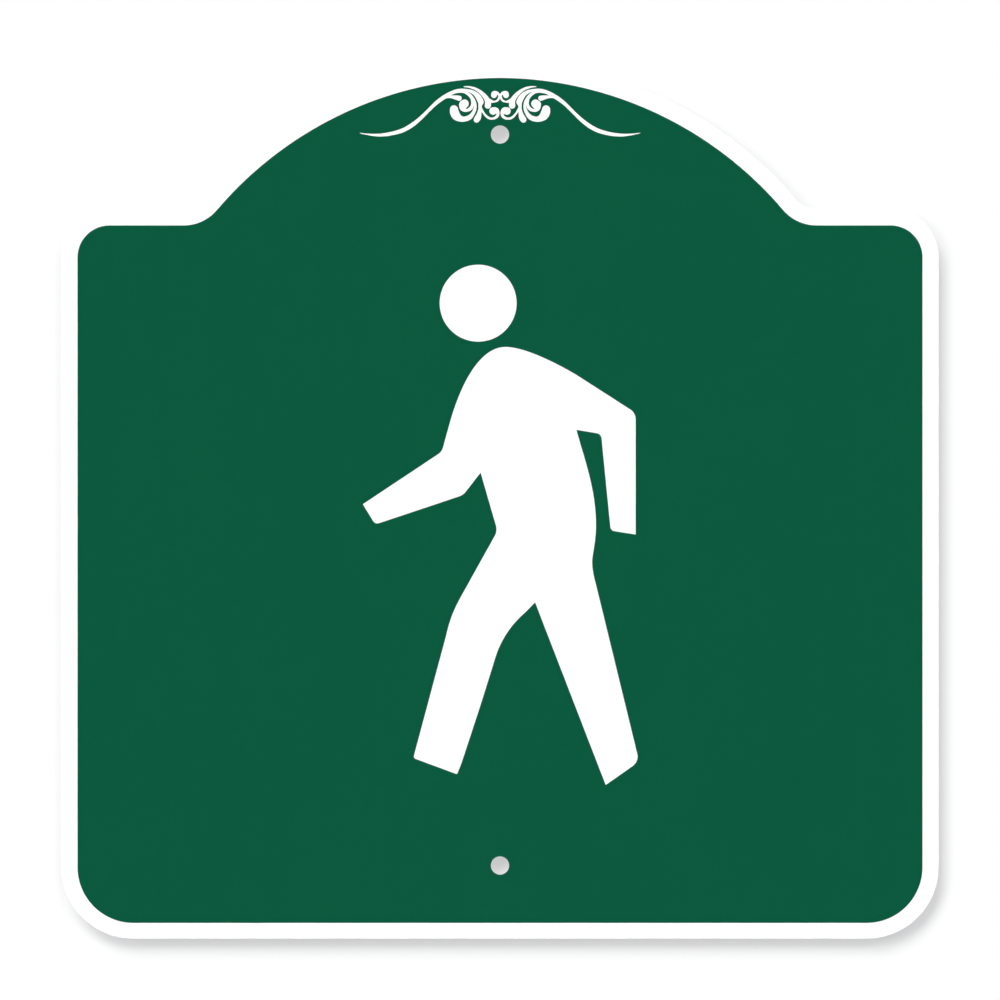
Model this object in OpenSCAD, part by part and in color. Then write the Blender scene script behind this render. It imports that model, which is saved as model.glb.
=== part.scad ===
// Arched traffic sign with a walking figure: punched aluminium blank,
// white reflective sheeting, cut green overlay film and a clear overlaminate.
// The sign stands upright in the XZ plane and faces -Y. Its back lies on y = 0,
// and the origin is midway between the two mounting holes on the back.

/* [Blank] */
// Overall width and overall height of the sign
sign_size = 457.2; // [448:0.1:466]
// Thickness of the aluminium
blank_t = 1.6; // [1:0.1:3.2]
// Radius of the arched top
arch_r = 203.5; // [200:0.5:206]
// How far beyond the middle of the sign each half of the arch is centred
arch_lean = 1.2; // [0:0.1:2.5]
// Height of the shoulders above the centre of the sign
shoulder_z = 151.7; // [148:0.1:155]
// Radius of the two shoulder corners
shoulder_r = 25; // [20:0.5:30]
// Radius of the two bottom corners
corner_r = 37.5; // [25:0.5:45]
// Radius of the inside corner where a shoulder meets the arch
notch_r = 14.5; // [13:0.5:18]

/* [Mounting holes] */
// Diameter of the two punched holes
hole_d = 9.525; // [6.5:0.005:11]
// Distance between the two holes, on the vertical centre line
hole_spacing = 381; // [375:0.5:384]

/* [Films] */
// Thickness of the white reflective sheeting with its adhesive
sheeting_t = 0.18; // [0.1:0.01:0.4]
// Thickness of the green overlay film with its adhesive
green_t = 0.08; // [0.05:0.01:0.15]
// Thickness of the clear overlaminate with its adhesive
clear_t = 0.06; // [0.03:0.01:0.12]
// Width of the white border left around the green film
border_w = 8.4; // [7:0.1:10]
// Height of the middle of the green field above the middle of the sign
field_z = -0.2; // [-1:0.1:1]

/* [Walking figure] */
// Size of the figure, 1 is full size
figure_scale = 1; // [0.9:0.01:1.05]
// Radius of the head
head_r = 20.05; // [18:0.05:21]
// Sideways place of the middle of the head
head_x = -11.4; // [-14:0.1:-8]
// Height of the middle of the head
head_z = 102.6; // [101:0.1:105]

/* [Scroll ornament] */
// Thickens or thins every stroke of the ornament
stroke_gain = 0; // [-0.1:0.05:0.1]
// Radius that softens the ornament's inside corners
soften_r = 0.1; // [0.05:0.05:0.2]

/* [Hidden] */
half = sign_size / 2;
arch_z = half - sqrt(pow(arch_r, 2) - pow(arch_lean, 2));
e = 0.5;

// ---- outline of the blank, inset by d ----
// arc from angle a0 to a1 in about 1 to 4 degree steps
function arc(cx, cz, r, a0, a1) =
    let (n = max(4, ceil(abs(a1 - a0) / (r > 100 ? 1 : 4))))
    [for (i = [0:n]) let (a = a0 + (a1 - a0) * i / n) [cx + r * cos(a), cz + r * sin(a)]];

// right half from bottom centre to top centre; the fillet circle touches
// both the shoulder line and the arch
function half_outline(d) =
    let (h = half - d, ra = arch_r - d, zs = shoulder_z - d,
         rf = notch_r + d, rs = shoulder_r - d, rc = corner_r - d,
         fz = zs + rf, fx = sqrt(pow(ra + rf, 2) - pow(fz - arch_z, 2)) - arch_lean,
         aj = atan2(fz - arch_z, fx + arch_lean))
    concat(
        arc(h - rc, rc - h, rc, -90, 0),
        arc(h - rs, zs - rs, rs, 0, 90),
        arc(fx, fz, rf, -90, aj - 180),
        [for (p = arc(-arch_lean, arch_z, ra, aj, acos(arch_lean / ra))) if (p[0] > 0.01) p]);

function mirrored(pts) = [for (i = [len(pts) - 1:-1:0]) [-pts[i][0], pts[i][1]]];

function outline(d) = let (r = half_outline(d))
    concat(r, [[0, arch_z + sqrt(pow(arch_r - d, 2) - pow(arch_lean, 2))]], mirrored(r));

// ---- figure: a closed path ----
// [x, z]                  sharp corner, then a straight line
// [x, z, r]               corner rounded to radius r, then a straight line
// [x, z, hx, hz, kx, kz]  start of a curve to the next point, with its two handles
function unit(v) = v / norm(v);
function bez(a, b, c, d, t) =
    pow(1 - t, 3) * a + 3 * pow(1 - t, 2) * t * b + 3 * (1 - t) * t * t * c + pow(t, 3) * d;
function curve(v, w, n) =
    [for (i = [0:n - 1]) bez([v[0], v[1]], [v[2], v[3]], [v[4], v[5]], [w[0], w[1]], i / n)];
function rounded(u, v, w) =
    let (p = [v[0], v[1]],
         a = unit((len(u) == 6 ? [u[4], u[5]] : [u[0], u[1]]) - p),
         b = unit([w[0], w[1]] - p),
         f = acos(a * b) / 2,
         c = p + unit(a + b) * v[2] / sin(f),
         s = p + a * v[2] / tan(f) - c,
         turn = (a[0] * b[1] - a[1] * b[0] > 0 ? -1 : 1) * (180 - 2 * f),
         n = max(3, ceil(abs(turn) / 6)))
    [for (i = [0:n]) let (q = turn * i / n)
        c + [s[0] * cos(q) - s[1] * sin(q), s[0] * sin(q) + s[1] * cos(q)]];
function path(p) = let (n = len(p))
    [for (i = [0:n - 1])
        let (u = p[(i + n - 1) % n], v = p[i], w = p[(i + 1) % n])
        each (len(v) == 6 ? curve(v, w, 24) : len(v) == 3 ? rounded(u, v, w) : [v])];

// body, from the top of the shoulders, clockwise
BODY = [
    [3, 79.8, 12, 79.8, 28, 72.3],
    [40, 65.1],
    [70.7, 45.4, 6],
    [70.7, -18],
    [57.7, -15.9, 2.5],
    [52.7, 34.4, 3],
    [39.8, 36.6, 43.2, 23.5, 49.8, 7],
    [50, -12, 50.1, -22, 48.3, -27],
    [48, -32, 48, -36.5, 49.2, -41],
    [50.1, -44.5],
    [72.5, -136.3, 6],
    [55.1, -148.5],
    [18.3, -53.3],
    [13.2, -58.5, 9.5, -61.8, 1, -69.5],
    [-3, -84],
    [-10.6, -108.3],
    [-20, -136.8],
    [-22.4, -142.9, 0.4],
    [-45.2, -134.5, 1.5],
    [-27.9, -70, -27.1, -66.5, -25.6, -59.5],
    [-19.8, -49.4],
    [-1.3, -16.1, 7],
    [-10.1, 14.3],
    [-19.2, 2.6, 8],
    [-65, -12.7, 2.5],
    [-71.5, -2.2],
    [-30.3, 25.2, 6],
    [-26.6, 38.7, -22.6, 53.5, -13, 79.8]];

// ---- ornament: strokes [x, z, half width] on the left half ----
TAIL = [[-73, 191.25, 0.15], [-69, 190.6, 0.4], [-64, 190.2, 0.7], [-59, 190.55, 0.9],
    [-54, 191.6, 1], [-49.5, 193.25, 1.05], [-45, 196.05, 1.05], [-41, 199.4, 0.9],
    [-37, 203.35, 0.85], [-33.5, 206.75, 0.95], [-30, 209.4, 1.05], [-27, 211.15, 1.1],
    [-24.9, 212.3, 0.95], [-22.4, 213.1, 1], [-20, 213.3, 1.05], [-18.3, 212.7, 0.8],
    [-16.8, 211.8, 0.8], [-15.4, 210.55, 0.85], [-14.4, 209.1, 0.95], [-13.85, 207.4, 1.2],
    [-14.4, 205.9, 0.75], [-14.9, 204.6, 0.85], [-16, 203.55, 0.85], [-17.3, 203.1, 0.75],
    [-18.6, 203.2, 0.85], [-19.6, 203.8, 1], [-20.2, 204.8, 1]];
HOOK = [[-13.6, 208.3, 0.7], [-13.05, 206.7, 0.7], [-12.9, 205.2, 0.7], [-13.1, 203.8, 0.8], [-13.7, 202.2, 0.85],
    [-14.7, 200.65, 1.05], [-15.8, 199.55, 1.2], [-17.35, 198.8, 1.3], [-19.05, 198.5, 1.35],
    [-20.9, 198.85, 1.65], [-22.7, 200.1, 2.2], [-23.8, 202.1, 2.3], [-24, 203.6, 2.1]];
BAND = [[-20, 213.5, 0.95], [-17.6, 213.7, 0.55], [-15, 212.95, 0.85], [-12.95, 211.8, 1.05],
    [-11.5, 210.3, 1.35], [-10.4, 208.5, 1.5], [-10.05, 207.3, 1.5], [-10.2, 206.5, 1.2], [-10.35, 205.7, 0.95],
    [-10.4, 204.6, 0.85], [-10.4, 203.3, 1], [-10.8, 201.6, 1.1], [-11.1, 200.3, 1.4],
    [-11.6, 199.1, 1.6], [-12.2, 198.2, 1.5]];
LEAF = [[-18.8, 215.45, 0.2], [-16.2, 215.3, 0.45], [-13.5, 214.6, 0.65], [-12.2, 214, 0.7],
    [-10.65, 213, 0.85], [-9.2, 211.75, 1], [-8, 210.5, 1.1], [-7.1, 209.3, 1.25],
    [-6.3, 207.3, 1.5], [-6.35, 205.55, 1.6]];
CURL = [[-7, 209, 1], [-4.5, 207.8, 0.75], [-3.1, 207.6, 0.45], [-1.75, 207.95, 0.5],
    [-0.9, 208.75, 0.55], [-0.45, 210, 0.5], [-0.5, 211.2, 0.55], [-1.5, 212.1, 0.8], [-2.6, 212.1, 1.2]];
SPRIG = [[-10, 204.2, 0.6], [-8.45, 201.6, 0.5], [-7.2, 200.1, 0.6], [-5.6, 199, 0.6],
    [-4.2, 198.8, 0.55], [-2.8, 199.05, 0.65], [-1.55, 199.95, 0.75], [-1.05, 201.2, 0.75],
    [-1, 202.3, 0.7], [-1.6, 203.5, 0.8]];
LOBE = [[-29.5, 209.9, 1], [-27.8, 210.2, 0.85], [-26.2, 210.1, 0.6], [-24.8, 210.05, 0.8],
    [-23.1, 209.8, 1.1], [-21.3, 209.4, 1.35]];
STROKES = [TAIL, HOOK, BAND, LEAF, CURL, SPRIG, LOBE];
// round ends of the scrolls
BALLS = [[-18.5, 206.55, 2.2], [-19.05, 206.1, 2.3], [-3.15, 211, 1.5], [-3, 211.6, 1.55],
    [-3.6, 202.75, 1.95], [-2.6, 203, 1.75]];

// smooth curve through stroke points, with the half width carried along
function cr(a, b, c, d, t) = 0.5 * (2 * b + (c - a) * t + (2 * a - 5 * b + 4 * c - d) * t * t
    + (3 * b - a - 3 * c + d) * t * t * t);
function run(s, n) = let (m = len(s)) concat(
    [for (i = [0:m - 2], k = [0:n - 1])
        cr(s[max(i - 1, 0)], s[i], s[i + 1], s[min(i + 2, m - 1)], k / n)],
    [s[m - 1]]);
function stroke(s, n = 3) =
    let (c = run(s, n), m = len(c),
         dir = [for (i = [0:m - 1])
             let (p = c[max(i - 1, 0)], q = c[min(i + 1, m - 1)]) unit([q[0] - p[0], q[1] - p[1]])])
    concat(
        [for (i = [0:m - 1]) [c[i][0] - dir[i][1] * (c[i][2] + stroke_gain), c[i][1] + dir[i][0] * (c[i][2] + stroke_gain)]],
        let (a = atan2(dir[m - 1][1], dir[m - 1][0]))
        [for (q = [70:-20:-70]) [c[m - 1][0] + (c[m - 1][2] + stroke_gain) * cos(a + q), c[m - 1][1] + (c[m - 1][2] + stroke_gain) * sin(a + q)]],
        [for (i = [m - 1:-1:0]) [c[i][0] + dir[i][1] * (c[i][2] + stroke_gain), c[i][1] - dir[i][0] * (c[i][2] + stroke_gain)]],
        let (a = atan2(dir[0][1], dir[0][0]))
        [for (q = [-110:-20:-250]) [c[0][0] + (c[0][2] + stroke_gain) * cos(a + q), c[0][1] + (c[0][2] + stroke_gain) * sin(a + q)]]);

module ornament_half() {
    for (s = STROKES) polygon(stroke(s));
    for (b = BALLS) translate([b[0], b[1]]) circle(r = b[2] + stroke_gain, $fn = 48);
}

module ornament() {
    offset(r = -soften_r, $fn = 24) offset(delta = soften_r) {
        ornament_half();
        mirror([1, 0]) ornament_half();
    }
}

module field() {
    translate([0, field_z]) polygon(outline(border_w));
}

module figure() {
    scale(figure_scale) {
        translate([head_x, head_z]) circle(r = head_r, $fn = 180);
        polygon(path(BODY));
    }
}

// layer of the sign from depth y0 to depth y1 in front of the back
module layer(y0, y1) {
    rotate([90, 0, 0]) translate([0, 0, y0]) linear_extrude(y1 - y0) children();
}

module holes() {
    for (s = [-1, 1]) translate([0, e, s * hole_spacing / 2]) rotate([90, 0, 0])
        cylinder(d = hole_d, h = blank_t + sheeting_t + green_t + clear_t + 2 * e, $fn = 96);
}

y_sheeting = blank_t;
y_green = y_sheeting + sheeting_t;
y_clear = y_green + green_t;
y_face = y_clear + clear_t;

module aluminium_blank() {
    color("silver") difference() {
        layer(0, y_sheeting) polygon(outline(0));
        holes();
    }
}

module white_reflective_sheeting() {
    color("white") difference() {
        layer(y_sheeting, y_green) polygon(outline(0));
        holes();
    }
}

module green_overlay_film() {
    color([0.05, 0.35, 0.25]) difference() {
        layer(y_green, y_clear) difference() {
            field();
            figure();
            ornament();
        }
        holes();
    }
}

module clear_overlaminate() {
    color([0.85, 0.9, 0.92, 0.35]) difference() {
        union() {
            layer(y_clear, y_face) polygon(outline(0));
            layer(y_green, y_clear) difference() {
                polygon(outline(0));
                field();
            }
            layer(y_green, y_clear) figure();
            layer(y_green, y_clear) ornament();
        }
        holes();
    }
}

aluminium_blank();
white_reflective_sheeting();
green_overlay_film();
clear_overlaminate();
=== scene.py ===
import math

import bpy
import numpy as np
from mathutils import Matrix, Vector
from mathutils.geometry import delaunay_2d_cdt


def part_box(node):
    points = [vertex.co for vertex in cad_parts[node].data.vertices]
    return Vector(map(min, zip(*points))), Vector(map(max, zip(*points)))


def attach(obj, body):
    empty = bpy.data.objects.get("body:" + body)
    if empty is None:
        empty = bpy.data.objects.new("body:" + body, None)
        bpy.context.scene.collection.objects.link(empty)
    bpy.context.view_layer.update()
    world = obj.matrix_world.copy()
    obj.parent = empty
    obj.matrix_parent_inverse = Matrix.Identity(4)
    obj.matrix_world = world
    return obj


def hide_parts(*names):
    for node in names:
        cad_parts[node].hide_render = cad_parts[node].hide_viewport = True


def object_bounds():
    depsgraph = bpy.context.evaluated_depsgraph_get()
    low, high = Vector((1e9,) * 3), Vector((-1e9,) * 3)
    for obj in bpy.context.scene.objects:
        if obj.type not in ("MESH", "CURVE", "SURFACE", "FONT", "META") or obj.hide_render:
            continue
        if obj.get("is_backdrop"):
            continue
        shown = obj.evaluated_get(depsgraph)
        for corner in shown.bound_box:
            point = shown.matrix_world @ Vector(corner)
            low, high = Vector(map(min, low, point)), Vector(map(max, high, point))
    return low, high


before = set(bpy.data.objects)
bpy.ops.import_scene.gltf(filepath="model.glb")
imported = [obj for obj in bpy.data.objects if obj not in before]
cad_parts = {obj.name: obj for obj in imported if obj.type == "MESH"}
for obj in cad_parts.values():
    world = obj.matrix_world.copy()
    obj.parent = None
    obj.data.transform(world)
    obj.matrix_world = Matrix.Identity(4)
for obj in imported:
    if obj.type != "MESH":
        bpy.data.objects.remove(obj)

CAD_LO, CAD_HI = (Vector(c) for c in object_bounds())
MM = 0.001
EPS = 0.005 * MM          # hairline between bonded layers, so that no two faces share a plane

# ---------------------------------------------------------------------------
# depths of the layers, from the CAD (the sign faces -Y, its back is y = 0)
# ---------------------------------------------------------------------------
Y_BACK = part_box("aluminium_blank")[1].y
Y_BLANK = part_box("aluminium_blank")[0].y
Y_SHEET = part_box("white_reflective_sheeting")[0].y
Y_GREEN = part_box("green_overlay_film")[0].y
Y_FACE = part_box("clear_overlaminate")[0].y
CENTRE_Z = (CAD_LO.z + CAD_HI.z) / 2
HALF = (CAD_HI.x - CAD_LO.x) / 2


# ---------------------------------------------------------------------------
# outlines of a CAD node's flat face
# ---------------------------------------------------------------------------
def area(p):
    x, z = p[:, 0], p[:, 1]
    return 0.5 * float(np.sum(x * np.roll(z, -1) - z * np.roll(x, -1)))


def face_loops(node, y):
    """The closed outlines of the node's face at depth y, as (x, z) arrays with the material on the left."""
    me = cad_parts[node].data
    co = np.zeros(len(me.vertices) * 3, np.float32)
    me.vertices.foreach_get("co", co)
    co = co.reshape(-1, 3).astype(float)
    me.calc_loop_triangles()
    tri = np.zeros(len(me.loop_triangles) * 3, np.int32)
    me.loop_triangles.foreach_get("vertices", tri)
    tri = tri.reshape(-1, 3)
    tri = tri[np.all(np.abs(co[tri][:, :, 1] - y) < 0.003 * MM, axis=1)]
    _, inverse = np.unique(np.round(co[:, [0, 2]], 9), axis=0, return_inverse=True)
    inverse = inverse.ravel()
    where = {}
    for i, k in enumerate(inverse):
        where.setdefault(int(k), i)
    t = inverse[tri]
    p = co[[where[int(k)] for k in t.ravel()]][:, [0, 2]].reshape(-1, 3, 2)
    turn = (p[:, 1, 0] - p[:, 0, 0]) * (p[:, 2, 1] - p[:, 0, 1]) - (p[:, 1, 1] - p[:, 0, 1]) * (p[:, 2, 0] - p[:, 0, 0])
    t[turn < 0] = t[turn < 0][:, ::-1]
    t = t[np.abs(turn) > 0]
    directed = set()
    for a, b, c in t:
        for e in ((a, b), (b, c), (c, a)):
            e = (int(e[0]), int(e[1]))
            if (e[1], e[0]) in directed:
                directed.remove((e[1], e[0]))
            else:
                directed.add(e)
    after = dict(directed)
    loops = []
    while after:
        start = min(after)
        ring, k = [], start
        while k in after:
            ring.append(where[k])
            k = after.pop(k)
        loops.append(co[ring][:, [0, 2]])
    return sorted(loops, key=lambda l: -abs(area(l)))


def is_round(p):
    c = p.mean(0)
    r = np.hypot(*(p - c).T)
    return len(p) >= 12 and r.max() - r.min() < 0.02 * r.mean() and r.max() - r.min() < 0.05 * MM


def round_loop(p, n):
    """The same circle with n points."""
    c = (p.min(0) + p.max(0)) / 2
    r = np.hypot(*(p - p.mean(0)).T).max()
    s = 1 if area(p) > 0 else -1
    a = np.linspace(0, 2 * math.pi, n, endpoint=False) * s
    return np.stack([p.mean(0)[0] + r * np.cos(a), p.mean(0)[1] + r * np.sin(a)], 1)


def tidy(p, nearest=0.03 * MM):
    """Drops points that crowd the one before."""
    keep = [p[0]]
    for q in p[1:]:
        if np.hypot(*(q - keep[-1])) > nearest:
            keep.append(q)
    while np.hypot(*(keep[-1] - keep[0])) <= nearest:
        keep.pop()
    return np.array(keep)


def smooth_loop(p, corner=24.0, step=3.0):
    """Adds points along the curved stretches of a loop, keeping its corners and straight runs."""
    p = tidy(p)
    n = len(p)
    d = np.roll(p, -1, 0) - p
    ln = np.hypot(*d.T)
    u = d / ln[:, None]
    before = np.roll(u, 1, 0)
    turn = np.degrees(np.arctan2(before[:, 0] * u[:, 1] - before[:, 1] * u[:, 0], (before * u).sum(1)))
    out = []
    for i in range(n):
        j = (i + 1) % n
        ends = []
        for v, side in ((i, 0), (j, 1)):
            lb, la = ln[v - 1], ln[v]
            if abs(turn[v]) > corner:
                t = u[i]
            elif la > 3.5 * lb:
                t = u[v]
            elif lb > 3.5 * la:
                t = u[v - 1]
            else:
                t = u[v - 1] * la + u[v] * lb
                t = t / np.hypot(*t)
            ends.append(t)
        bend = max(
            abs(math.degrees(math.acos(max(-1, min(1, float(ends[0] @ u[i])))))),
            abs(math.degrees(math.acos(max(-1, min(1, float(ends[1] @ u[i])))))),
        )
        k = 1 if bend < 0.3 or ln[i] < 0.1 * MM else max(1, min(6, math.ceil(2 * bend / step)))
        a, b = p[i], p[j]
        for m in range(k):
            s = m / k
            h00, h10 = 2 * s**3 - 3 * s**2 + 1, s**3 - 2 * s**2 + s
            h01, h11 = -2 * s**3 + 3 * s**2, s**3 - s**2
            out.append(h00 * a + h10 * ln[i] * ends[0] + h01 * b + h11 * ln[i] * ends[1])
    return np.array(out)


def fine(p):
    if is_round(p):
        r = np.hypot(*(p - p.mean(0)).T).mean()
        return round_loop(p, 128 if r < 8 * MM else 256)
    return smooth_loop(p)


def inward(p):
    """At each point of a loop, the mitred direction into the material, which is on the left."""
    u = np.roll(p, -1, 0) - p
    u = u / np.hypot(*u.T)[:, None]
    left = np.stack([-u[:, 1], u[:, 0]], 1)
    m = left + np.roll(left, 1, 0)
    m = m / np.maximum(np.hypot(*m.T)[:, None], 1e-9)
    c = np.maximum((m * left).sum(1), 0.5)
    return m / c[:, None]


def room(loops, into):
    """At each point, the radius of the largest circle that touches the loops there and lies on the given side."""
    every = np.concatenate(loops)
    out = []
    for l, v in zip(loops, into):
        n = v / np.hypot(*v.T)[:, None]
        r = np.zeros(len(l))
        for s in range(0, len(l), 400):
            w = every[None] - l[s:s + 400][:, None]
            dot = (w * n[s:s + 400][:, None]).sum(2)
            d2 = (w**2).sum(2)
            with np.errstate(divide="ignore", invalid="ignore"):
                q = np.where((dot > 1e-9) & (d2 > 1e-14), d2 / (2 * dot), 1.0)
            r[s:s + 400] = q.min(1)
        out.append(r)
    return out


def shortened(v, d, limit):
    """v scaled by d, but nowhere longer than the limit."""
    size = np.hypot(*v.T)
    return v * (np.minimum(d * size, limit) / size)[:, None]


# ---------------------------------------------------------------------------
# closed sheets built from outlines
# ---------------------------------------------------------------------------
def inside(points, loops):
    """Which points lie in the region that the loops bound, by the even-odd rule."""
    a = np.concatenate(loops)
    b = np.concatenate([np.roll(l, -1, 0) for l in loops])
    res = np.zeros(len(points), bool)
    for s in range(0, len(points), 1500):
        q = points[s:s + 1500]
        x, z = q[:, 0][:, None], q[:, 1][:, None]
        cross = (a[None, :, 1] > z) != (b[None, :, 1] > z)
        with np.errstate(divide="ignore", invalid="ignore"):
            at = a[None, :, 0] + (z - a[None, :, 1]) / (b[None, :, 1] - a[None, :, 1]) * (b[None, :, 0] - a[None, :, 0])
        res[s:s + 1500] = (np.sum(cross & (x < at), axis=1) % 2) == 1
    return res


def grid_inside(loops, step):
    """Points of an even grid that lie well inside the region, so that its triangles come out regular."""
    edge = np.concatenate(loops)
    lo, hi = edge.min(0), edge.max(0)
    rows = []
    for j, z in enumerate(np.arange(lo[1] + step / 2, hi[1], step * 0.866)):
        xs = np.arange(lo[0] + step / 2 + (j % 2) * step / 2, hi[0], step)
        rows.append(np.stack([xs, np.full(len(xs), z)], 1))
    g = np.concatenate(rows)
    g = g[inside(g, loops)]
    a = edge
    b = np.concatenate([np.roll(l, -1, 0) for l in loops])
    ab = b - a
    l2 = np.maximum((ab**2).sum(1), 1e-18)
    keep = np.zeros(len(g), bool)
    for s in range(0, len(g), 400):
        q = g[s:s + 400]
        t = np.clip(((q[:, None] - a[None]) * ab[None]).sum(2) / l2[None], 0, 1)
        d = np.hypot(*np.moveaxis(q[:, None] - (a[None] + t[..., None] * ab[None]), 2, 0))
        keep[s:s + 400] = d.min(1) > step * 0.45
    return g[keep]


def triangles(loops, step=None):
    """Triangulates the region between the loops. Returns the added inner points and triangles that index first the loops' points, in order, then the added ones."""
    pts = [tuple(p) for l in loops for p in l]
    edges, base = [], 0
    for l in loops:
        edges += [(base + i, base + (i + 1) % len(l)) for i in range(len(l))]
        base += len(l)
    extra = grid_inside(loops, step) if step else np.zeros((0, 2))
    every = np.array(pts + [tuple(p) for p in extra])
    scale = 1000.0
    co, _, faces, origin, _, _ = delaunay_2d_cdt([Vector(p * scale) for p in every], edges, [], 0, 1e-5, True)
    name = []
    for k, o in enumerate(origin):
        if not o:
            raise RuntimeError(f"outlines cross near {co[k].x:.2f}, {co[k].y:.2f} mm")
        name.append(min(o))
    tri = np.array([[name[v] for v in f] for f in faces if len({name[v] for v in f}) == 3])
    mid = every[tri].mean(1)
    tri = tri[inside(mid, loops)]
    p = every[tri]
    turn = (p[:, 1, 0] - p[:, 0, 0]) * (p[:, 2, 1] - p[:, 0, 1]) - (p[:, 1, 1] - p[:, 0, 1]) * (p[:, 2, 0] - p[:, 0, 0])
    tri[turn < 0] = tri[turn < 0][:, ::-1]
    return extra, tri


class Build:
    """Collects the points and faces of one closed piece."""

    def __init__(self):
        self.v, self.f, self.m, self.smooth = [], [], [], []

    def ring(self, p, y):
        s = len(self.v)
        self.v += [(float(x), float(y), float(z)) for x, z in p]
        return list(range(s, s + len(p)))

    def wall(self, a, b, mat=0):
        """Joins ring a to ring b behind it, facing away from the material on the loop's left."""
        n = len(a)
        for i in range(n):
            j = (i + 1) % n
            self.f.append((a[i], b[i], b[j], a[j]))
            self.m.append(mat)
            self.smooth.append(True)

    def cap(self, rings, loops, y, front=True, mat=0, step=None):
        extra, tri = triangles(loops, step)
        ids = [i for r in rings for i in r] + self.ring(extra, y)
        for t in tri:
            t = [ids[k] for k in t]
            self.f.append(tuple(t if front else t[::-1]))
            self.m.append(mat)
            self.smooth.append(False)

    def make(self, name, mats, sharp=30.0):
        me = bpy.data.meshes.new(name)
        me.from_pydata(self.v, [], self.f)
        me.update()
        for m in mats:
            me.materials.append(m)
        me.polygons.foreach_set("material_index", self.m)
        me.set_sharp_from_angle(angle=math.radians(sharp))
        me.polygons.foreach_set("use_smooth", self.smooth)
        me.validate()
        ob = bpy.data.objects.new(name, me)
        bpy.context.scene.collection.objects.link(ob)
        return ob


def round_edge(r, n, y, sign):
    """(inset, depth) pairs of an edge rounded to radius r, from the flat face at depth y to the wall."""
    return [(r * (1 - math.sin(a)), y + sign * r * (1 - math.cos(a))) for a in (math.radians(90 * k / n) for k in range(n + 1))]


def sheet_piece(name, loops, y_front, y_back, mats, r_front, r_back, step, n=3, wall_mat=0):
    """A flat closed sheet with rounded edges front and back."""
    b = Build()
    levels = round_edge(r_front, n, y_front, +1) + list(reversed(round_edge(r_back, n, y_back, -1)))
    into = [inward(l) for l in loops]
    rings = [[b.ring(l + v * d, y) for l, v in zip(loops, into)] for d, y in levels]
    for k in range(len(levels) - 1):
        for a, c in zip(rings[k], rings[k + 1]):
            b.wall(a, c, wall_mat)
    b.cap(rings[0], [l + v * levels[0][0] for l, v in zip(loops, into)], y_front, True, 0, step)
    b.cap(rings[-1], [l + v * levels[-1][0] for l, v in zip(loops, into)], y_back, False, 0, step)
    return b.make(name, mats)


# ---------------------------------------------------------------------------
# materials
# ---------------------------------------------------------------------------
class Nodes:
    def __init__(self, name):
        self.mat = bpy.data.materials.new(name)
        self.mat.use_nodes = True
        self.nt = self.mat.node_tree
        self.nt.nodes.clear()
        self.out = self.nt.nodes.new("ShaderNodeOutputMaterial")
        self.coord = self.nt.nodes.new("ShaderNodeTexCoord").outputs["Object"]

    def node(self, kind, **inputs):
        n = self.nt.nodes.new(kind)
        for k, v in inputs.items():
            key = k.replace("_", " ")
            s = n.inputs[int(k[1:])] if k[0] == "i" and k[1:].isdigit() else n.inputs[key]
            if isinstance(v, bpy.types.NodeSocket):
                self.nt.links.new(v, s)
            else:
                s.default_value = v
        return n

    def stretch(self, x, y, z, rot=(0, 0, 0)):
        return self.node("ShaderNodeMapping", Vector=self.coord, Scale=(x, y, z), Rotation=rot).outputs[0]

    def noise(self, vector, scale=1.0, detail=2.0, rough=0.5, distortion=0.0):
        n = self.node("ShaderNodeTexNoise", Vector=vector, Scale=scale, Detail=detail, Roughness=rough, Distortion=distortion)
        return n.outputs["Fac"]

    def cells(self, vector, scale=1.0):
        n = self.node("ShaderNodeTexVoronoi", Vector=vector, Scale=scale)
        return n.outputs["Distance"]

    def remap(self, value, a, b, c, d):
        n = self.node("ShaderNodeMapRange", Value=value)
        n.inputs["From Min"].default_value = a
        n.inputs["From Max"].default_value = b
        n.inputs["To Min"].default_value = c
        n.inputs["To Max"].default_value = d
        return n.outputs[0]

    def math(self, op, a, b=None):
        n = self.nt.nodes.new("ShaderNodeMath")
        n.operation = op
        for i, v in enumerate((a, b)):
            if v is None:
                continue
            if isinstance(v, bpy.types.NodeSocket):
                self.nt.links.new(v, n.inputs[i])
            else:
                n.inputs[i].default_value = v
        return n.outputs[0]

    def colour(self, fac, a, b):
        n = self.nt.nodes.new("ShaderNodeMix")
        n.data_type = "RGBA"
        self.nt.links.new(fac, n.inputs["Factor"])
        for s, v in ((n.inputs[6], a), (n.inputs[7], b)):
            if isinstance(v, bpy.types.NodeSocket):
                self.nt.links.new(v, s)
            else:
                s.default_value = (*v, 1)
        return n.outputs[2]

    def bump(self, height, distance, strength=1.0, normal=None):
        n = self.node("ShaderNodeBump", Strength=strength, Distance=distance, Height=height)
        if normal is not None:
            self.nt.links.new(normal, n.inputs["Normal"])
        return n.outputs[0]

    def principled(self, **inputs):
        n = self.nt.nodes.new("ShaderNodeBsdfPrincipled")
        for k, v in inputs.items():
            s = n.inputs[k.replace("_", " ")]
            if isinstance(v, bpy.types.NodeSocket):
                self.nt.links.new(v, s)
            else:
                s.default_value = v
        self.nt.links.new(n.outputs[0], self.out.inputs[0])
        return n


def shade(rgb, k):
    return tuple(c * k for c in rgb)


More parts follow.
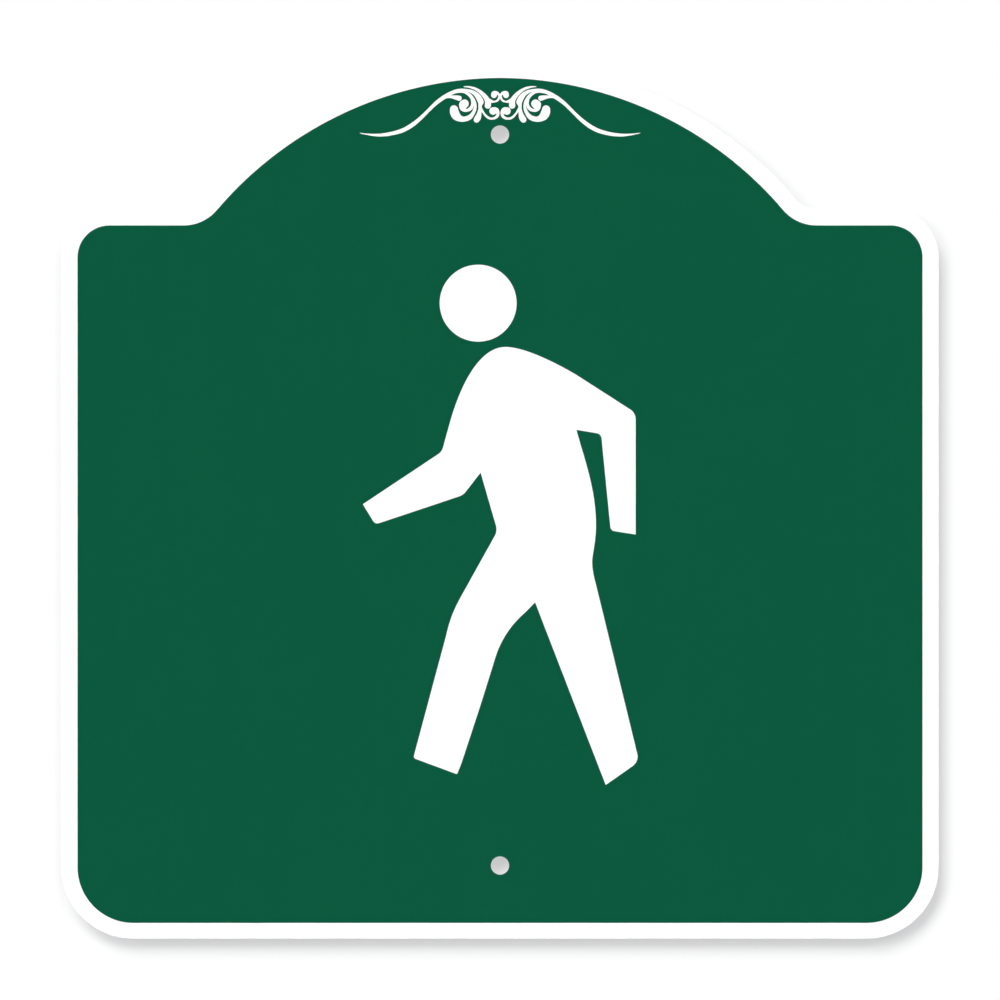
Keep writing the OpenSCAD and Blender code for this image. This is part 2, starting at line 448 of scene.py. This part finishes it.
# mill-finish aluminium: rolling lines along the sheet, soft oxide clouds, a few handling scuffs
def aluminium():
    m = Nodes("mill_finish_aluminium")
    fine_lines = m.noise(m.stretch(2600, 2600, 14), 1, 3, 0.6)
    broad_lines = m.noise(m.stretch(260, 260, 3.2), 1, 3, 0.55)
    clouds = m.noise(m.stretch(9, 9, 6), 1, 4, 0.55, 0.4)
    blotch = m.noise(m.stretch(38, 38, 26), 1, 3, 0.6, 0.8)
    scuff = m.noise(m.stretch(900, 900, 26, (0, math.radians(24), 0)), 1, 2, 0.5)
    patch = m.noise(m.stretch(14, 14, 14), 1, 2, 0.5)
    scuffs = m.math("MULTIPLY", m.remap(scuff, 0.66, 0.72, 0, 1), m.remap(patch, 0.5, 0.62, 0, 1))
    tone = m.math("ADD", m.math("MULTIPLY", broad_lines, 0.45), m.math("MULTIPLY", clouds, 0.55))
    base = m.colour(m.remap(tone, 0.3, 0.7, 0, 1), (0.66, 0.67, 0.685), (0.83, 0.84, 0.85))
    base = m.colour(m.math("MULTIPLY", scuffs, 0.35), base, (0.9, 0.905, 0.91))
    rough = m.math("ADD", m.remap(fine_lines, 0.25, 0.75, 0.2, 0.34), m.remap(blotch, 0.3, 0.7, -0.035, 0.05))
    rough = m.math("ADD", rough, m.math("MULTIPLY", scuffs, 0.12))
    height = m.math("ADD", m.math("MULTIPLY", fine_lines, 0.55), m.math("MULTIPLY", broad_lines, 1.0))
    height = m.math("SUBTRACT", height, m.math("MULTIPLY", scuffs, 0.35))
    m.principled(Base_Color=base, Metallic=1.0, Roughness=rough, Normal=m.bump(height, 0.000006, 1.0))
    return m.mat


# sheared and punched edge: a smooth burnished band next to the face, a torn band behind it
def sheared_edge():
    m = Nodes("sheared_aluminium_edge")
    depth = m.node("ShaderNodeSeparateXYZ", Vector=m.coord).outputs["Y"]
    wander = m.noise(m.stretch(220, 0, 220), 1, 3, 0.6)
    line = m.math("ADD", m.math("MULTIPLY", depth, 1000.0), m.math("MULTIPLY", wander, 0.35))
    torn = m.remap(line, -0.98, -0.86, 0, 1)
    streaks = m.noise(m.stretch(5200, 260, 5200), 1, 2, 0.5)
    grit = m.noise(m.stretch(9000, 9000, 9000), 1, 3, 0.7)
    tone = m.math("ADD", m.math("MULTIPLY", streaks, 0.6), m.math("MULTIPLY", grit, 0.4))
    bright = m.colour(tone, (0.76, 0.77, 0.785), (0.9, 0.905, 0.915))
    dull = m.colour(tone, (0.5, 0.51, 0.525), (0.78, 0.785, 0.8))
    base = m.colour(torn, bright, dull)
    rough = m.math("ADD", m.math("MULTIPLY", torn, 0.24), m.remap(tone, 0.3, 0.7, 0.18, 0.34))
    height = m.math("ADD", m.math("MULTIPLY", streaks, 0.5), m.math("MULTIPLY", m.math("MULTIPLY", grit, torn), 1.4))
    m.principled(Base_Color=base, Metallic=1.0, Roughness=rough, Normal=m.bump(height, 0.00002, 1.0))
    return m.mat


# white retroreflective sheeting: closely packed glass beads under a clear skin
WHITE = (0.948, 0.948, 0.948)


def sheeting():
    m = Nodes("white_sheeting")
    beads = m.cells(m.stretch(1, 1, 1), 5200)
    clumps = m.noise(m.stretch(1, 1, 1), 900, 3, 0.6)
    drift = m.noise(m.stretch(1, 1, 1), 22, 3, 0.5)
    tone = m.math("ADD", m.math("MULTIPLY", beads, 0.35), m.math("MULTIPLY", clumps, 0.65))
    tone = m.math("ADD", m.math("MULTIPLY", tone, 0.7), m.math("MULTIPLY", drift, 0.3))
    base = m.colour(m.remap(tone, 0.25, 0.7, 0, 1), shade(WHITE, 0.985), shade(WHITE, 1.012))
    rough = m.remap(clumps, 0.3, 0.7, 0.36, 0.46)
    m.principled(Base_Color=base, Roughness=rough, Specular_IOR_Level=0.0, Normal=m.bump(beads, 0.00001, 0.5))
    return m.mat


# transparent green film over the beads
GREEN = (0.0028, 0.0900, 0.0444)


def green_film():
    m = Nodes("green_film")
    beads = m.cells(m.stretch(1, 1, 1), 5200)
    clumps = m.noise(m.stretch(1, 1, 1), 900, 3, 0.6)
    drift = m.noise(m.stretch(1, 1, 1), 16, 4, 0.55)
    streak = m.noise(m.stretch(60, 60, 3), 1, 2, 0.5)
    tone = m.math("ADD", m.math("MULTIPLY", beads, 0.25), m.math("MULTIPLY", clumps, 0.35))
    tone = m.math("ADD", tone, m.math("ADD", m.math("MULTIPLY", drift, 0.25), m.math("MULTIPLY", streak, 0.15)))
    base = m.colour(m.remap(tone, 0.25, 0.7, 0, 1), shade(GREEN, 0.955), shade(GREEN, 1.04))
    rough = m.remap(clumps, 0.3, 0.7, 0.38, 0.48)
    m.principled(Base_Color=base, Roughness=rough, Specular_IOR_Level=0.0, Normal=m.bump(beads, 0.00001, 0.5))
    return m.mat


# clear film: what is under it shows through, and its skin gives the sign its gloss
def clear_film():
    m = Nodes("clear_film")
    peel = m.noise(m.stretch(1, 1, 1), 420, 2, 0.45)
    waves = m.noise(m.stretch(1, 1, 1), 45, 2, 0.5)
    height = m.math("ADD", m.math("MULTIPLY", peel, 0.25), m.math("MULTIPLY", waves, 1.0))
    normal = m.bump(height, 0.00002, 1.0)
    edge_on = m.nt.nodes.new("ShaderNodeLayerWeight")
    edge_on.inputs["Blend"].default_value = 0.5
    fac = m.math("ADD", m.math("MULTIPLY", m.math("POWER", edge_on.outputs["Facing"], 5.0), 0.96), 0.04)
    bonded = m.nt.nodes.new("ShaderNodeNewGeometry").outputs["Backfacing"]
    fac = m.math("MULTIPLY", fac, m.math("SUBTRACT", 1.0, bonded))
    rough = m.remap(m.noise(m.stretch(1, 1, 1), 70, 3, 0.6), 0.3, 0.7, 0.1, 0.15)
    clear = m.nt.nodes.new("ShaderNodeBsdfTransparent")
    clear.inputs["Color"].default_value = (0.998, 0.999, 0.999, 1)
    gloss = m.node("ShaderNodeBsdfGlossy", Roughness=rough, Normal=normal)
    gloss.inputs["Color"].default_value = (1, 1, 1, 1)
    mix = m.nt.nodes.new("ShaderNodeMixShader")
    m.nt.links.new(fac, mix.inputs[0])
    m.nt.links.new(clear.outputs[0], mix.inputs[1])
    m.nt.links.new(gloss.outputs[0], mix.inputs[2])
    m.nt.links.new(mix.outputs[0], m.out.inputs[0])
    return m.mat


ALUMINIUM, EDGE, SHEETING, GREEN_FILM, CLEAR = aluminium(), sheared_edge(), sheeting(), green_film(), clear_film()

# ---------------------------------------------------------------------------
# the pieces
# ---------------------------------------------------------------------------
blank_loops = [fine(l) for l in face_loops("aluminium_blank", Y_BACK)]
green_loops = [fine(l) for l in face_loops("green_overlay_film", Y_GREEN)]

blank = sheet_piece("blank", blank_loops, Y_BLANK, Y_BACK, [ALUMINIUM, EDGE],
                    0.03 * MM, 0.22 * MM, 12 * MM, n=5, wall_mat=1)
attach(blank, "root")
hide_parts("aluminium_blank")

white = sheet_piece("reflective_sheeting", blank_loops, Y_SHEET, Y_BLANK - EPS, [SHEETING],
                    0.02 * MM, 0.01 * MM, 14 * MM, n=2)
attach(white, "root")
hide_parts("white_reflective_sheeting")

green = sheet_piece("green_film", green_loops, Y_GREEN, Y_SHEET - EPS, [GREEN_FILM],
                    0.01 * MM, 0.004 * MM, 14 * MM, n=2)
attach(green, "root")
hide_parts("green_overlay_film")


def overlaminate():
    """The clear film: level over the green, and settling a little where the green is cut away."""
    settle, slope, gap = 0.045 * MM, 0.1 * MM, 0.008 * MM
    outer = blank_loops[0]
    holes = [l for l in green_loops if is_round(l) and np.hypot(*(l - l.mean(0)).T).mean() < 8 * MM and abs(l.mean(0)[0]) < 1 * MM]
    cuts = [l for l in green_loops if not any(l is h for h in holes)]
    b = Build()
    out_into = inward(outer)
    r = 0.02 * MM
    # border of the sheet, over the white
    rim = [(r, Y_FACE + settle), (r * 0.3, Y_FACE + settle + r * 0.3), (0, Y_FACE + settle + r), (0, Y_SHEET - EPS)]
    rim_rings = [b.ring(outer + out_into * d, y) for d, y in rim]
    for k in range(len(rim) - 1):
        b.wall(rim_rings[k], rim_rings[k + 1])
    # bolt holes, through the green
    hole_into = [inward(h) for h in holes]
    lip = [(r, Y_FACE), (r * 0.3, Y_FACE + r * 0.3), (0, Y_FACE + r), (0, Y_GREEN - EPS)]
    hole_rings = [[b.ring(h + v * d, y) for h, v in zip(holes, hole_into)] for d, y in lip]
    for k in range(len(lip) - 1):
        for a, c in zip(hole_rings[k], hole_rings[k + 1]):
            b.wall(a, c)
    # cut edges: on the front a soft step down, on the back a step that fills the cut-out
    cut_into = [inward(c) for c in cuts]
    free = room(cuts, [-v for v in cut_into])
    down = [c - shortened(v, slope, 0.5 * r) for c, v, r in zip(cuts, cut_into, free)]
    half = [(c + d) / 2 for c, d in zip(cuts, down)]
    step = [c - shortened(v, gap, 0.25 * r) for c, v, r in zip(cuts, cut_into, free)]
    top = [b.ring(c, Y_FACE) for c in cuts]
    mid = [b.ring(c, Y_FACE + settle * 0.62) for c in half]
    low = [b.ring(c, Y_FACE + settle) for c in down]
    back = [b.ring(c, Y_GREEN - EPS) for c in step]
    deep = [b.ring(c, Y_SHEET - EPS) for c in step]
    for t, m, l, k, d in zip(top, mid, low, back, deep):
        b.wall(t, m)
        b.wall(m, l)
        b.wall(d, k)
    green_front = cuts + [h + v * lip[0][0] for h, v in zip(holes, hole_into)]
    b.cap(top + hole_rings[0], green_front, Y_FACE, True, 0, 14 * MM)
    b.cap([rim_rings[0]] + [l[::-1] for l in low], [outer + out_into * rim[0][0]] + [l[::-1] for l in down],
          Y_FACE + settle, True, 0, 14 * MM)
    b.cap(back + hole_rings[-1], step + holes, Y_GREEN - EPS, False, 0, 14 * MM)
    b.cap([rim_rings[-1]] + [d[::-1] for d in deep], [outer] + [l[::-1] for l in step], Y_SHEET - EPS, False, 0, 14 * MM)
    return b.make("clear_film", [CLEAR], 40)


clear = overlaminate()
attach(clear, "root")
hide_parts("clear_overlaminate")

# ---------------------------------------------------------------------------
# stage: a plain white wall close behind the sign, a plain pale floor below
# ---------------------------------------------------------------------------
WALL_GAP = 8 * MM


def flat(name, corners, mat):
    me = bpy.data.meshes.new(name)
    me.from_pydata(corners, [], [(0, 1, 2, 3)])
    me.materials.append(mat)
    ob = bpy.data.objects.new(name, me)
    bpy.context.scene.collection.objects.link(ob)
    ob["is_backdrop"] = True
    return ob


def wall_material():
    m = Nodes("stage_wall")
    x, y, z = m.node("ShaderNodeSeparateXYZ", Vector=m.coord).outputs
    out = m.math("SQRT", m.math("ADD", m.math("POWER", x, 2.0), m.math("POWER", z, 2.0)))
    fade = m.remap(out, 0.38, 0.46, 0, 1)
    away = m.nt.nodes.new("ShaderNodeNewGeometry").outputs["Backfacing"]
    lit = m.node("ShaderNodeBsdfDiffuse", Color=(0.37, 0.37, 0.37, 1))
    glow = m.node("ShaderNodeEmission", Color=(0.985, 0.99, 1, 1), Strength=0.58)
    add = m.nt.nodes.new("ShaderNodeAddShader")
    m.nt.links.new(lit.outputs[0], add.inputs[0])
    m.nt.links.new(glow.outputs[0], add.inputs[1])
    clear = m.nt.nodes.new("ShaderNodeBsdfTransparent")
    mix = m.nt.nodes.new("ShaderNodeMixShader")
    m.nt.links.new(m.math("MAXIMUM", fade, away), mix.inputs[0])
    m.nt.links.new(add.outputs[0], mix.inputs[1])
    m.nt.links.new(clear.outputs[0], mix.inputs[2])
    m.nt.links.new(mix.outputs[0], m.out.inputs[0])
    return m.mat


wy = Y_BACK + WALL_GAP
wall = flat("stage_wall", [(-0.5, wy, -0.5), (0.5, wy, -0.5), (0.5, wy, 0.5), (-0.5, wy, 0.5)], wall_material())
for flag in ("visible_diffuse", "visible_glossy", "visible_transmission", "visible_shadow", "visible_volume_scatter"):
    setattr(wall, flag, False)

floor_mat = Nodes("stage_floor")
floor_lit = floor_mat.node("ShaderNodeBsdfDiffuse", Color=(0.35, 0.35, 0.352, 1))
floor_glow = floor_mat.node("ShaderNodeEmission", Color=(0.99, 0.99, 0.99, 1), Strength=0.72)
floor_add = floor_mat.nt.nodes.new("ShaderNodeAddShader")
floor_mat.nt.links.new(floor_lit.outputs[0], floor_add.inputs[0])
floor_mat.nt.links.new(floor_glow.outputs[0], floor_add.inputs[1])
floor_mat.nt.links.new(floor_add.outputs[0], floor_mat.out.inputs[0])
fz = CAD_LO.z - 0.6
floor = flat("stage_floor", [(-14, -14, fz), (14, -14, fz), (14, 14, fz), (-14, 14, fz)], floor_mat.mat)
for flag in ("visible_diffuse", "visible_glossy", "visible_transmission", "visible_shadow"):
    setattr(floor, flag, False)

# ---------------------------------------------------------------------------
# light: a large soft source high on the left, weaker ones low on the left and high on the right
# ---------------------------------------------------------------------------


def sun(name, towards, strength, degrees, colour=(1, 1, 1)):
    data = bpy.data.lights.new(name, "SUN")
    data.energy, data.angle, data.color = strength, math.radians(degrees), colour
    ob = bpy.data.objects.new(name, data)
    ob.rotation_mode = "QUATERNION"
    ob.rotation_quaternion = (-Vector(towards)).to_track_quat("-Z", "Y")
    bpy.context.scene.collection.objects.link(ob)
    return ob


key_high = sun("key_high", (-0.4, -1.0, 0.813), 3.11, 31.5)
key_side = sun("key_side", (-0.79, -1.0, 0.243), 1.0, 24)
fill = sun("fill", (0.395, -1.0, 0.527), 0.6, 19)
for lamp in (key_high, key_side, fill):
    lamp.visible_glossy = False

world = bpy.data.worlds.new("studio")
bpy.context.scene.world = world
world.use_nodes = True
wt = world.node_tree
wt.nodes.clear()


def wn(kind, op=None, ins=()):
    n = wt.nodes.new(kind)
    if op:
        n.operation = op
    for i, v in enumerate(ins):
        if isinstance(v, bpy.types.NodeSocket):
            wt.links.new(v, n.inputs[i])
        elif v is not None:
            n.inputs[i].default_value = v
    return n.outputs[0] if op != "DOT_PRODUCT" else n.outputs["Value"]


def wm(op, a, b=None):
    return wn("ShaderNodeMath", op, (a, b))


way = wt.nodes.new("ShaderNodeTexCoord").outputs["Generated"]


def soft_spot(towards, inner, outer, power):
    """A round soft source in the studio: full inside one angle from its middle, gone outside another."""
    d = Vector(towards).normalized()
    dot = wn("ShaderNodeVectorMath", "DOT_PRODUCT", (way, tuple(d)))
    n = wt.nodes.new("ShaderNodeMapRange")
    n.interpolation_type = "SMOOTHSTEP"
    wt.links.new(dot, n.inputs["Value"])
    n.inputs["From Min"].default_value = math.cos(math.radians(outer))
    n.inputs["From Max"].default_value = math.cos(math.radians(inner))
    n.inputs["To Min"].default_value = 0
    n.inputs["To Max"].default_value = power
    return n.outputs[0]


# what glossy surfaces mirror: dark straight in front, soft panels and a pale floor elsewhere
mirrored = wm("SUBTRACT", 0.47, soft_spot((0, -1, 0), 50, 95, 0.37))
mirrored = wm("SUBTRACT", mirrored, soft_spot((0, -1, 0), 8, 24, 0.08))
for panel in (((-0.78, -0.42, -0.46), 9, 13, 1.3), ((0.78, -0.42, -0.46), 9, 13, 1.3), ((-0.95, -0.4, 0.3), 6, 16, 0.9),
              ((-0.2, 0.75, 0.75), 14, 30, 1.6), ((-0.95, 0.5, 0.2), 10, 26, 1.1), ((0.9, 0.35, 0.1), 8, 22, 0.9),
              ((0, 0.2, 1), 14, 34, 0.8), ((0.42, 0.9, -0.08), 3, 24, 0.35)):
    mirrored = wm("ADD", mirrored, soft_spot(*panel))
# what lights matt surfaces: mostly from behind, as the key light is enough for the front
matt = wm("SUBTRACT", 0.6, soft_spot((0, -1, 0), 70, 110, 0.55))


def background(strength):
    n = wt.nodes.new("ShaderNodeBackground")
    n.inputs["Color"].default_value = (1, 1, 1, 1)
    if isinstance(strength, bpy.types.NodeSocket):
        wt.links.new(strength, n.inputs["Strength"])
    else:
        n.inputs["Strength"].default_value = strength
    return n.outputs[0]


def choose(fac, a, b):
    n = wt.nodes.new("ShaderNodeMixShader")
    wt.links.new(fac, n.inputs[0])
    wt.links.new(a, n.inputs[1])
    wt.links.new(b, n.inputs[2])
    return n.outputs[0]


ray = wt.nodes.new("ShaderNodeLightPath").outputs
once_lit = wm("MULTIPLY", mirrored, wm("LESS_THAN", ray["Diffuse Depth"], 0.5))
lit_by = choose(ray["Is Diffuse Ray"], background(once_lit), background(matt))
pick = choose(ray["Is Camera Ray"], lit_by, background(1.0))
world_out = wt.nodes.new("ShaderNodeOutputWorld")
wt.links.new(pick, world_out.inputs[0])

# ---------------------------------------------------------------------------
# camera: square on, with a long lens
# ---------------------------------------------------------------------------
cam_data = bpy.data.cameras.new("camera")
cam_data.type = "PERSP"
cam_data.lens = 200.0
cam_data.sensor_width = 36.0
cam_data.dof.use_dof = False
WIDE = 0.52117           # width of the view at the face of the sign
cam = bpy.data.objects.new("camera", cam_data)
cam.location = ((CAD_LO.x + CAD_HI.x) / 2, Y_FACE - WIDE * cam_data.lens / cam_data.sensor_width, CENTRE_Z)
cam.rotation_euler = (math.radians(90), 0, 0)
cam_data.clip_start, cam_data.clip_end = 0.05, 60
bpy.context.scene.collection.objects.link(cam)
bpy.context.scene.camera = cam

view = bpy.context.scene.view_settings
view.view_transform = "Standard"
view.look = "None"
view.exposure = 0.0
view.gamma = 1.0
